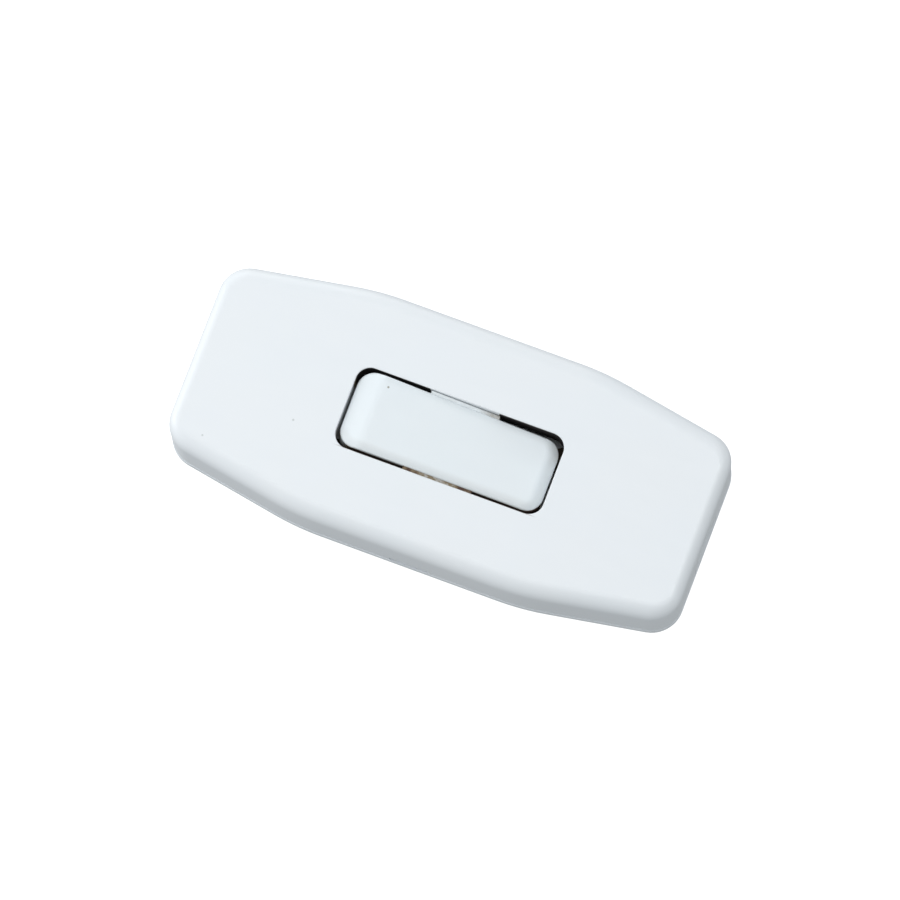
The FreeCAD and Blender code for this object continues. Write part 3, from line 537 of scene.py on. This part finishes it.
def joined(name: str, meshes: Sequence[bpy.types.Mesh]) -> bpy.types.Mesh:
    """Put several meshes into one.

    Args:
        name: The new mesh's name.
        meshes: The meshes, which are removed.

    Returns:
        The joined mesh.
    """
    points, corners, starts = [], [], []
    for mesh in meshes:
        place = np.empty(len(mesh.vertices) * 3)
        mesh.vertices.foreach_get("co", place)
        corner = np.empty(len(mesh.loops), dtype=np.int32)
        mesh.loops.foreach_get("vertex_index", corner)
        start = np.empty(len(mesh.polygons), dtype=np.int32)
        mesh.polygons.foreach_get("loop_start", start)
        starts.append(start + sum(map(len, corners)))
        corners.append(corner + sum(map(len, points)) // 3)
        points.append(place)
        bpy.data.meshes.remove(mesh)
    whole = bpy.data.meshes.new(name)
    whole.vertices.add(sum(map(len, points)) // 3)
    whole.vertices.foreach_set("co", np.concatenate(points))
    whole.loops.add(sum(map(len, corners)))
    whole.loops.foreach_set("vertex_index", np.concatenate(corners))
    whole.polygons.add(sum(map(len, starts)))
    whole.polygons.foreach_set("loop_start", np.concatenate(starts))
    whole.update(calc_edges=True)
    return whole


def new_piece(name: str, mesh: bpy.types.Mesh, material: bpy.types.Material, sharp_deg: float = 40.0
              ) -> bpy.types.Object:
    """Link a mesh into the scene as a piece, smooth apart from its sharp edges.

    Args:
        name: The piece's name.
        mesh: Its mesh, already in place.
        material: Its material.
        sharp_deg: The angle past which an edge stays sharp.

    Returns:
        The object.
    """
    mesh.shade_smooth()
    mesh.set_sharp_from_angle(angle=math.radians(sharp_deg))
    mesh.materials.clear()
    mesh.materials.append(material)
    piece = bpy.data.objects.new(name, mesh)
    bpy.context.scene.collection.objects.link(piece)
    return piece


def stand_for(piece: bpy.types.Object, body: str, node: str) -> None:
    """Let a new piece ride on a body in place of a CAD node.

    Args:
        piece: The new piece.
        body: The body's name.
        node: The CAD node that it replaces.
    """
    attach(piece, body)
    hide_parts(node)
    LOG.info("built %s in place of %s", piece.name, node)


@dataclass
class Casing:
    """The two moulded halves and the cord clamps between them, with painted shade in the gaps round the
    window.

    Attributes:
        wall_reach: How far past the window's walls the painted shade counts as on them, in millimetres.
        rim_depth: How far down the walls stay free of painted shade, in millimetres.
        turn: The length of a wall over which painted shade comes in, in millimetres.
        left_share: The share of painted shade on the left wall.
        front_shade_reach: Half the width of the painted shade along the front edge, in millimetres.
        front_shade_core: The part of that reach where the painted shade is full.
        front_shade_share: The share of painted shade in that band.
        specks: The dark specks seen from above.
    """

    wall_reach: float = 0.06
    rim_depth: float = 0.1
    turn: float = 2.0
    left_share: float = 0.06
    front_shade_reach: float = 0.12
    front_shade_core: float = 0.4
    front_shade_share: float = 0.2
    specks: tuple[Speck, ...] = ((-23.2, -5.2, 0.25), (-35.2, -12.15, 0.22))

    def window_gap_shade(self, graph: Graph, point: Field) -> Field:
        """Return the share of painted shade: black on the window's rear wall, brown on its left and its front
        edge.

        Args:
            graph: The material's graph.
            point: The place in millimetres.

        Returns:
            The share of painted shade.
        """
        x, y, z = graph.parts(point)
        half_length = WINDOW_LENGTH / 2
        half_width = WINDOW_WIDTH / 2
        within_length = abs(x).step(half_length + 2 * self.wall_reach, half_length + self.wall_reach)
        within_width = abs(y).step(half_width + 2 * self.wall_reach, half_width + self.wall_reach)
        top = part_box("top_cover")[1].z / MM
        below = z.step(top - self.rim_depth, top - 3 * self.rim_depth)
        rear = y.step(half_width - 2 * self.turn, half_width - self.turn)
        left = x.step(self.turn - half_length, 0.5 * self.turn - half_length)
        beside_pads = abs(x).step(PAD_HALF, PAD_HALF + PAD_FADE)
        # Painted shade: black on the rear wall beside the pads, faint brown on the left wall.
        walls = (rear * beside_pads).greatest(left * self.left_share)
        # Painted shade in a brown band along the window's front edge.
        front_edge = abs(y + half_width).step(self.front_shade_reach, self.front_shade_core * self.front_shade_reach)
        tarnish_and_edge_shade = front_edge * abs(x).step(half_length, half_length - self.turn) * self.front_shade_share
        return (within_length * within_width * below * walls).greatest(tarnish_and_edge_shade)

    def dress(self) -> None:
        """Dress the cover, the base and the clamps."""
        # Painted shade on the cover's window walls and front edge.
        dress("top_cover", CASING_WHITE.make("cover_white", self.window_gap_shade, self.specks))
        dress("base_shell", CASING_WHITE.make("base_white"))
        grey = CLAMP_GREY.make("clamp_grey")
        for end in ENDS:
            dress(f"cord_clamp_{end}", grey)


@dataclass
class CoilSpring:
    """A round-wire coil spring behind a plunger, its end turns closed and its axis that of the plunger.

    Attributes:
        pole: The pole that it belongs to.
        wire: The wire's thickness.
        turns: The number of turns.
        closed_share: The part of the wire in each closed end turn.
        closed_rise: How far a closed turn climbs, as a part of the wire's thickness.
        steps_per_turn: The rings in each turn.
        wire_steps: The points round the wire.
    """

    pole: str
    wire: float = 0.32 * MM
    turns: float = 4.5
    closed_share: float = 0.16
    closed_rise: float = 0.35
    steps_per_turn: int = 40
    wire_steps: int = 12

    def rings(self) -> np.ndarray:
        """Return the wire's rings along the coil.

        The centre line is a helix about the plunger's axis whose height follows a ramp that is nearly flat
        over the closed end turns; each ring is a circle square to that line.

        Returns:
            Points of shape (rings, points round the wire, 3).
        """
        low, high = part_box(f"plunger_spring_{self.pole}")
        pivot = Vector(joint("rocker_tilt")["pos_m"])
        axis = Vector(joint(f"plunger_slide_{self.pole}")["axis"]).normalized()
        outer = (high.y - low.y) / 2
        lean = outer * axis.x
        bottom = (low.z + lean - pivot.z) / axis.z + self.wire / 2
        top = (high.z - lean - pivot.z) / axis.z - self.wire / 2
        share = np.linspace(0.0, 1.0, int(self.turns * self.steps_per_turn) + 1)
        shut = self.closed_share
        flat = self.wire * self.closed_rise
        climb = np.clip((share - shut) / (1.0 - 2.0 * shut), 0.0, 1.0)
        height = bottom + flat * np.clip(share / shut, 0.0, 1.0)
        height = height + (top - bottom - 2.0 * flat) * climb
        height = height + flat * np.clip((share - 1.0 + shut) / shut, 0.0, 1.0)
        turn = 2.0 * np.pi * self.turns * share
        across = np.array((0.0, 1.0, 0.0))
        along = np.array(axis)
        side = np.cross(across, along)
        outward = np.cos(turn)[:, None] * side + np.sin(turn)[:, None] * across
        foot = np.array((pivot.x, (low.y + high.y) / 2, pivot.z))
        centre = foot + height[:, None] * along + (outer - self.wire / 2) * outward
        tangent = np.gradient(centre, axis=0)
        tangent = tangent / np.linalg.norm(tangent, axis=1, keepdims=True)
        upward = np.cross(tangent, outward)
        round_wire = np.linspace(0.0, 2.0 * np.pi, self.wire_steps, endpoint=False)
        ring = (np.cos(round_wire)[None, :, None] * outward[:, None, :]
                + np.sin(round_wire)[None, :, None] * upward[:, None, :])
        return centre[:, None, :] + self.wire / 2 * ring

    def build(self, material: bpy.types.Material) -> None:
        """Build the spring in place of its CAD node.

        Args:
            material: The wire's material.
        """
        name = f"coil_spring_{self.pole}"
        rings = self.rings()
        piece = new_piece(name, tube_mesh(name, rings[:, ::-1]), material)
        stand_for(piece, "rocker", f"plunger_spring_{self.pole}")
        slide = joint(f"plunger_slide_{self.pole}")
        points = rings.reshape(-1, 3)
        heights = points @ np.array(slide["axis"])
        travel = max(slide["range_m"])
        top = points[heights.argmax()]
        1.0 - travel / np.ptp(heights)
        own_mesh(piece)


@dataclass
class Rocker:
    """The rocker with its two plungers and their springs, the painted shade on its walls, front pad and rims,
    and the grime on its rear pad.

    Attributes:
        raised_end: How far the button reaches from the pivot at its raised end, in millimetres.
        raised_half: Half its width there.
        pressed_end: How far it reaches at its pressed end.
        pressed_half: Half its width there.
        corner: The radius of its corners in plan.
        wall_reach: How far inside its outline the walls count as reached.
        front_share: The share of painted shade on the front wall.
        front_top: The height above the pivot where the front wall's painted shade ends, in millimetres.
        pressed_share: The share of painted shade on the pressed end's wall.
        pressed_top: The height above the pivot where that painted shade ends.
        fade_depth: How far below those heights the painted shade is full.
        raised_drop: How much lower the front wall's painted shade ends towards the raised end.
        patch_size: The size of the patches on the side pads, in millimetres.
        patch_edges: The noise values between which a patch comes in.
        patch_floor: The part of the pads' painted shade and grime that is left between patches.
        front_pad_share: The share of painted shade in the middle of the front pad.
        front_pad_rise: What is added to it at the pad's ends.
        front_pad_span: Where it rises, as parts of the pad's half length.
        rear_pad_share: The share of grime on the rear pad.
        rear_pad_rise: What is added to it at the pad's pressed end.
        rear_pad_start: Where it rises, as a part of the pad's half length.
        pad_turn: How far from the middle a pad's side of the rocker is reached, in millimetres.
        rim_reach: The width of the faint brownish painted shade along the face's front and pressed rims.
        rim_share: The share of that painted shade.
        specks: The dark specks seen from above.
    """

    raised_end: float = 16.37
    raised_half: float = 6.05
    pressed_end: float = 15.95
    pressed_half: float = 5.75
    corner: float = 2.6
    wall_reach: float = 0.02
    front_share: float = 0.95
    front_top: float = 2.8
    pressed_share: float = 0.5
    pressed_top: float = 2.2
    fade_depth: float = 0.6
    raised_drop: float = 0.5
    patch_size: float = 0.9
    patch_edges: Span = (0.35, 0.6)
    patch_floor: float = 0.6
    front_pad_share: float = 0.5
    front_pad_rise: float = 0.45
    front_pad_span: Span = (0.3, 0.7)
    rear_pad_share: float = 0.05
    rear_pad_rise: float = 0.3
    rear_pad_start: float = 0.3
    pad_turn: float = 1.0
    rim_reach: float = 1.7
    rim_share: float = 0.048
    specks: tuple[Speck, ...] = ((-11.5, 4.4, 0.23),)

    def pad_shade_and_grime(self, graph: Graph, point: Field, along: Field, y: Field) -> Field:
        """Return the share of painted shade on the front pad and of grime on the rear pad.

        Args:
            graph: The material's graph.
            point: The place in millimetres.
            along: The place along the tilted button.
            y: The place across it.

        Returns:
            The share of grime.
        """
        start, stop = self.front_pad_span
        front_rise = abs(along).step(start * PAD_HALF, stop * PAD_HALF) * self.front_pad_rise
        front = y.step(0.0, -self.pad_turn) * (self.front_pad_share + front_rise)
        rear_rise = along.step(self.rear_pad_start * PAD_HALF, PAD_HALF) * self.rear_pad_rise
        rear = y.step(0.0, self.pad_turn) * (self.rear_pad_share + rear_rise)
        patches = graph.noise(point, self.patch_size, Detail.ROUGH).step(*self.patch_edges)
        return (self.patch_floor + (1.0 - self.patch_floor) * patches) * rear.greatest(front)

    def flank_shade_and_grime(self, graph: Graph, point: Field) -> Field:
        """Return the share of painted shade on the walls, the front pad and the face's rims, and of grime on
        the rear pad.

        The walls are where the distance to the button's outline in plan, a box with rounded corners that is
        narrower at its pressed end, is nought or more.

        Args:
            graph: The material's graph.
            point: The place in millimetres.

        Returns:
            The share of grime.
        """
        pivot = [value / MM for value in joint("rocker_tilt")["pos_m"]]
        axis = joint("plunger_slide_front")["axis"]
        x, y, z = graph.parts(point)
        along = x * axis[2] - (z - pivot[2]) * axis[0]
        height = (z - pivot[2]) * axis[2] + x * axis[0]
        length = self.raised_end + self.pressed_end
        middle = (self.pressed_end - self.raised_end) / 2
        taper = (self.raised_half - self.pressed_half) / length
        half = self.raised_half - (along + self.raised_end) * taper
        over_end = (abs(along - middle) - (length / 2 - self.corner)).greatest(0.0)
        over_side = (abs(y) - half + self.corner).greatest(0.0)
        outside = (over_end ** 2.0 + over_side ** 2.0) ** 0.5 - self.corner
        wall = outside.step(-self.wall_reach, 0.0)
        front = y.step(self.corner - self.pressed_half, -self.pressed_half + 0.5 * self.corner)
        pressed = along.step(self.pressed_end - self.corner, self.pressed_end - 0.5 * self.corner)
        off_pad = abs(along).step(PAD_HALF, PAD_HALF + PAD_FADE)
        # Painted shade on the front pad, grime on the rear pad.
        pads = (1.0 - off_pad) * self.pad_shade_and_grime(graph, point, along, y)
        raised = along.step(0.0, -0.5 * self.raised_end) * self.raised_drop
        front_low = (height + raised).step(self.front_top, self.front_top - self.fade_depth)
        # Painted shade on the front wall, off the pads, fading out towards the face.
        front_side = front * off_pad * front_low * self.front_share
        # Painted shade on the pressed end's wall.
        pressed_low = height.step(self.pressed_top, self.pressed_top - self.fade_depth)
        sides = front_side.greatest(pressed * pressed_low * self.pressed_share)
        # Faint brownish painted shade along the face's front and pressed rims.
        near_rim = outside.step(-self.rim_reach, -0.5 * self.rim_reach)
        rim = near_rim * front.greatest(pressed) * self.rim_share
        return (wall * sides.greatest(pads)).greatest(rim)

    def build(self) -> None:
        """Build the springs."""
        steel = SPRING_STEEL.make("spring_steel_wire")
        for pole in POLES:
            CoilSpring(pole).build(steel)

    def dress(self) -> None:
        """Dress the rocker and the plungers."""
        # Painted shade on the rocker's walls, front pad and rims; grime on its rear pad.
        dress("rocker", ROCKER_WHITE.make("rocker_white", self.flank_shade_and_grime, self.specks))
        nylon = NATURAL_NYLON.make("plunger_nylon")
        for pole in POLES:
            dress(f"plunger_{pole}", nylon)


@dataclass
class ContactSet:
    """The see-saw arms, the contact buttons and the terminals of both poles."""

    brass_pieces: tuple[str, ...] = ("contact_arm", "cradle_terminal", "fixed_terminal")
    silver_pieces: tuple[str, ...] = ("moving_contact", "fixed_contact")

    def dress(self) -> None:
        """Dress the brass and silver pieces."""
        # Painted shade darkens the brass where it lies under the gap.
        brass = STRIP_BRASS.make("strip_brass", UNDER_GAP_SHADE.cover)
        silver = CONTACT_SILVER.make("contact_silver_face")
        for pole in POLES:
            for piece in self.brass_pieces:
                dress(f"{piece}_{pole}", brass)
            for piece in self.silver_pieces:
                dress(f"{piece}_{pole}", silver)


@dataclass
class ScrewSet:
    """Four alike slotted screws with cut threads, set in a node's four places.

    Attributes:
        node: The CAD node that holds the four.
        shank: The shank's radius.
        turned_deg: How far each screw is turned.
        head: The head's radius.
        head_height: The head's height.
        head_eye: The radius of the innermost ring on the head, as a part of the head's.
        bevel: The bevel round the head.
        slot_width: The driver slot's width.
        slot_depth: Its depth.
        slot_reach: How far the slot's cutter reaches, in heads' radii.
        pitch: The thread's pitch.
        neck: The plain length under the head, in pitches.
        thread_depth: The thread's depth.
        point: The length and depth of the bevelled point.
        sharp_deg: The angle past which an edge stays sharp.
        around: The points round each ring.
        steps_per_pitch: The rings in each pitch.
    """

    node: str
    shank: float
    turned_deg: tuple[float, ...]
    head: float = 2.1 * MM
    head_height: float = 1.6 * MM
    head_eye: float = 0.3
    bevel: float = 0.2 * MM
    slot_width: float = 0.6 * MM
    slot_depth: float = 0.8 * MM
    slot_reach: float = 1.5
    pitch: float = 0.5 * MM
    neck: float = 0.6
    thread_depth: float = 0.2 * MM
    point: float = 0.4 * MM
    sharp_deg: float = 30.0
    around: int = 48
    steps_per_pitch: int = 10

    def rings(self, length: float) -> np.ndarray:
        """Return a screw's rings from the middle of its head down to its point.

        The radius follows the head's outline, then the shank's, where a helical ridge of triangular section
        rises from the thread's root to the shank's full radius.

        Args:
            length: The shank's length.

        Returns:
            Points of shape (rings, points round each, 3).
        """
        top = self.head_height
        outline = np.array([
            (self.head_eye * self.head, top),
            (self.head - self.bevel, top),
            (self.head, top - self.bevel),
            (self.head, 0.0),
            (self.shank, 0.0),
        ])
        neck = self.neck * self.pitch
        threads = np.linspace(-neck, -length, int(length / self.pitch * self.steps_per_pitch))
        turn = np.linspace(0.0, 2.0 * np.pi, self.around, endpoint=False)
        phase = np.mod(threads[:, None] / self.pitch + turn[None, :] / (2.0 * np.pi), 1.0)
        ridge = 1.0 - np.abs(2.0 * phase - 1.0)
        fade = np.clip((-threads - neck) / self.pitch, 0.0, 1.0)[:, None]
        cone = np.clip((threads + length) / self.point, 0.0, 1.0)[:, None]
        root = self.shank - self.thread_depth * fade
        radius = root + self.thread_depth * fade * ridge
        radius = np.minimum(radius, self.shank - self.point * (1.0 - cone))
        plain = np.repeat(outline[:, :1], self.around, axis=1)
        radius = np.concatenate([plain, radius])
        height = np.concatenate([outline[:, 1], threads])
        x = radius * np.cos(turn)
        y = radius * np.sin(turn)
        z = np.repeat(height[:, None], self.around, axis=1)
        return np.stack([x, y, z], axis=-1)

    def slotted(self, length: float) -> bpy.types.Mesh:
        """Make one screw about its own axis, with the driver's slot cut across its head.

        Args:
            length: The shank's length.

        Returns:
            The screw's mesh.
        """
        screw = bpy.data.objects.new("screw_blank", tube_mesh("screw_blank", self.rings(length)[:, ::-1]))
        sides = np.array((self.slot_reach * self.head, self.slot_width / 2))
        corners = np.array([(-1, -1), (1, -1), (1, 1), (-1, 1)])
        levels = np.array((self.head_height - self.slot_depth, 2.0 * self.head_height))
        box = np.concatenate([np.repeat((corners * sides)[None], 2, axis=0),
                              np.repeat(levels[:, None, None], 4, axis=1)], axis=-1)
        cutter = bpy.data.objects.new("slot_cutter", tube_mesh("slot_cutter", box))
        for blank in (screw, cutter):
            bpy.context.scene.collection.objects.link(blank)
        cut = screw.modifiers.new("slot", "BOOLEAN")
        cut.operation = "DIFFERENCE"
        cut.solver = "EXACT"
        cut.object = cutter
        graph = bpy.context.evaluated_depsgraph_get()
        mesh = bpy.data.meshes.new_from_object(screw.evaluated_get(graph))
        for blank in (screw, cutter):
            bpy.data.objects.remove(blank)
        return mesh

    def build(self, material: bpy.types.Material) -> None:
        """Build the four screws as one piece in place of their CAD node.

        Args:
            material: The screws' material.
        """
        low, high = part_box(self.node)
        seat = high.z - self.head_height
        mesh = self.slotted(seat - low.z)
        x, y = high.x - self.head, high.y - self.head
        places = [(way * x, side * y, seat) for way in (-1, 1) for side in (-1, 1)]
        copies = []
        for place, angle in zip(places, self.turned_deg):
            copy = mesh.copy()
            copy.transform(Matrix.Translation(place) @ Matrix.Rotation(math.radians(angle), 4, "Z"))
            copies.append(copy)
        name = f"cut_{self.node}"
        piece = new_piece(name, joined(name, copies), material, self.sharp_deg)
        stand_for(piece, "casing", self.node)


@dataclass
class Fasteners:
    """The terminal screws and the clamp screws."""

    shank: float = 1.42 * MM
    terminal_turns_deg: tuple[float, ...] = (12.0, 74.0, 151.0, 38.0)
    clamp_turns_deg: tuple[float, ...] = (55.0, 8.0, 97.0, 140.0)

    def build(self) -> None:
        """Build both sets of screws."""
        zinc = ZINC_PLATE.make("zinc_plate")
        ScrewSet("terminal_screws", self.shank, self.terminal_turns_deg).build(zinc)
        ScrewSet("clamp_screws", self.shank, self.clamp_turns_deg).build(zinc)


@dataclass
class Studio:
    """The floor, the soft light and the camera."""

    image_px: float = 900.0
    px_per_m: float = 6650.0
    tilt_deg: float = 10.3
    lean_deg: float = 5.4
    roll_deg: float = 20.0
    distance: float = 1.2
    centre_px: tuple[float, float] = (449.6, 440.6)
    sensor_mm: float = 36.0
    clip_end: float = 10.0
    floor_half: float = 1.5
    floor_drop: float = 0.02 * MM
    floor_grey: Colour = (0.4, 0.4, 0.4)
    floor_roughness: float = 0.9
    floor_specular: float = 0.1
    floor_glow: Colour = (1.0, 1.0, 1.0)
    floor_glow_strength: float = 0.95
    key_power: float = 1.41
    key_size: float = 0.4
    key_place: Place = (0.02, 0.03, 0.6)
    fill_power: float = 0.9
    fill_size: float = 0.3
    fill_place: Place = (-0.4, -0.065, 0.15)
    back_power: float = 1.25
    back_size: float = 0.4
    back_place: Place = (-0.21, 0.64, 0.14)
    sky: Colour = (0.94, 0.98, 1.0)
    sky_strength: float = 0.505

    def build_floor(self) -> None:
        """Lay a plain pale floor just under the switch."""
        side = np.array((-self.floor_half, self.floor_half))
        x, y = np.meshgrid(side, side)
        points = np.stack([x, y, np.full_like(x, -self.floor_drop)], axis=-1).reshape(-1, 3)
        mesh = bpy.data.meshes.new("studio_floor")
        mesh.from_pydata(points, [], [(0, 1, 3, 2)])
        pale = Graph("studio_white").surface({
            "Base Color": (*self.floor_grey, 1.0),
            "Roughness": self.floor_roughness,
            "Specular IOR Level": self.floor_specular,
            "Emission Color": (*self.floor_glow, 1.0),
            "Emission Strength": self.floor_glow_strength,
        })
        floor = new_piece("studio_floor", mesh, pale)
        floor.visible_diffuse = False
        floor.visible_glossy = False

    def add_lamp(self, name: str, place: Place, size: float, power: float) -> None:
        """Hang a round soft lamp that faces the switch.

        Args:
            name: The lamp's name.
            place: Where it hangs.
            size: Its diameter.
            power: Its power in watts.
        """
        lamp = bpy.data.lights.new(name, "AREA")
        lamp.shape = "DISK"
        lamp.size = size
        lamp.energy = power
        holder = bpy.data.objects.new(name, lamp)
        holder.location = place
        holder.rotation_euler = (-Vector(place)).to_track_quat("-Z", "Y").to_euler()
        bpy.context.scene.collection.objects.link(holder)

    def build_light(self) -> None:
        """Light the set with a key from above, low lamps from the left and from behind, and a pale sky."""
        self.add_lamp("key", self.key_place, self.key_size, self.key_power)
        self.add_lamp("fill", self.fill_place, self.fill_size, self.fill_power)
        self.add_lamp("back", self.back_place, self.back_size, self.back_power)
        world = bpy.data.worlds.new("pale_sky")
        world.use_nodes = True
        sky = world.node_tree.nodes["Background"]
        sky.inputs["Color"].default_value = (*self.sky, 1.0)
        sky.inputs["Strength"].default_value = self.sky_strength
        bpy.context.scene.world = world
        bpy.context.scene.view_settings.view_transform = "Standard"

    def build_camera(self) -> None:
        """Aim a long lens so that the window's middle falls at its place in the picture."""
        lean = math.sin(math.radians(self.lean_deg))
        tilt = math.sin(math.radians(self.tilt_deg))
        back = Vector((lean, -tilt, math.sqrt(1.0 - lean * lean - tilt * tilt)))
        level = (Vector((1.0, 0.0, 0.0)) - lean * back).normalized()
        rise = back.cross(level)
        roll = math.radians(self.roll_deg)
        right = math.cos(roll) * level + math.sin(roll) * rise
        up = math.cos(roll) * rise - math.sin(roll) * level
        window = Vector((0.0, 0.0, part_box("top_cover")[1].z))
        half = self.image_px / 2
        aim = window + (right * (half - self.centre_px[0]) - up * (half - self.centre_px[1])) / self.px_per_m
        lens = bpy.data.cameras.new("camera")
        lens.sensor_width = self.sensor_mm
        lens.lens = self.px_per_m * self.sensor_mm * self.distance / self.image_px
        lens.clip_end = self.clip_end
        camera = bpy.data.objects.new("camera", lens)
        turn = Matrix((right, up, back)).transposed()
        camera.matrix_world = Matrix.Translation(aim + self.distance * back) @ turn.to_4x4()
        bpy.context.scene.collection.objects.link(camera)
        bpy.context.scene.camera = camera


def main() -> None:
    """Build and dress each sub-assembly, then the studio round it."""
    logging.basicConfig(level=logging.INFO, format="%(name)s: %(message)s")
    rocker = Rocker()
    rocker.build()
    Fasteners().build()
    Casing().dress()
    rocker.dress()
    ContactSet().dress()
    studio = Studio()
    studio.build_floor()
    studio.build_light()
    studio.build_camera()


if __name__ == "__main__":
    main()
